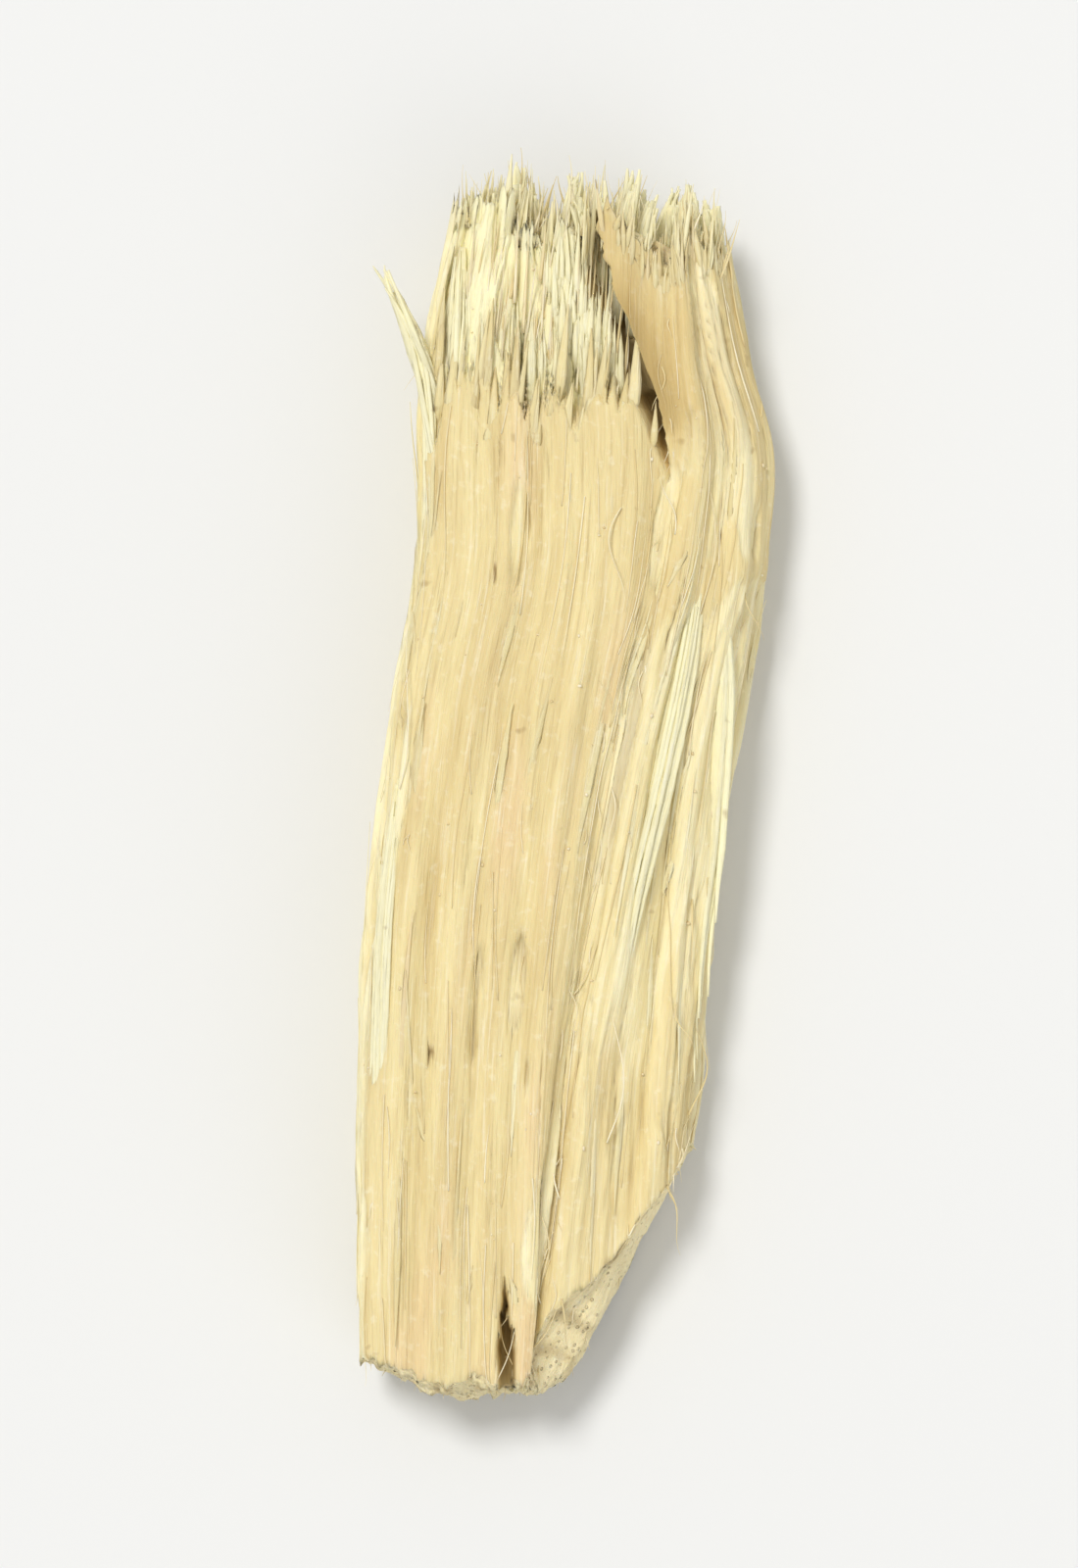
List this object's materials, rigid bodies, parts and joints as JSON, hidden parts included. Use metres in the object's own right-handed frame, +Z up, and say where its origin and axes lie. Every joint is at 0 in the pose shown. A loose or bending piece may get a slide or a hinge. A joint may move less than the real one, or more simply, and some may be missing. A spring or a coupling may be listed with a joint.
{
  "type": "dried marshmallow root chip",
  "caption": "Long fibrous chip of cut dried root, cream and tan, with a flat split underside, a ridged side facet, a slanted cut end and a torn splintered end.",
  "frame": {"origin": "under the middle of the chip's bounding box, on the surface it lies on", "axes": "+Y along the grain towards the torn end, +Z up out of the smooth outer face, +X across towards the ridged facet"},
  "size_m": [0.005, 0.0148, 0.0021],
  "materials": {
    "dried_root": "dry matte fibrous root, chalky, cream to tan"
  },
  "bodies": {
    "root": {"root_chip": "dried_root"}
  },
  "joints": []
}
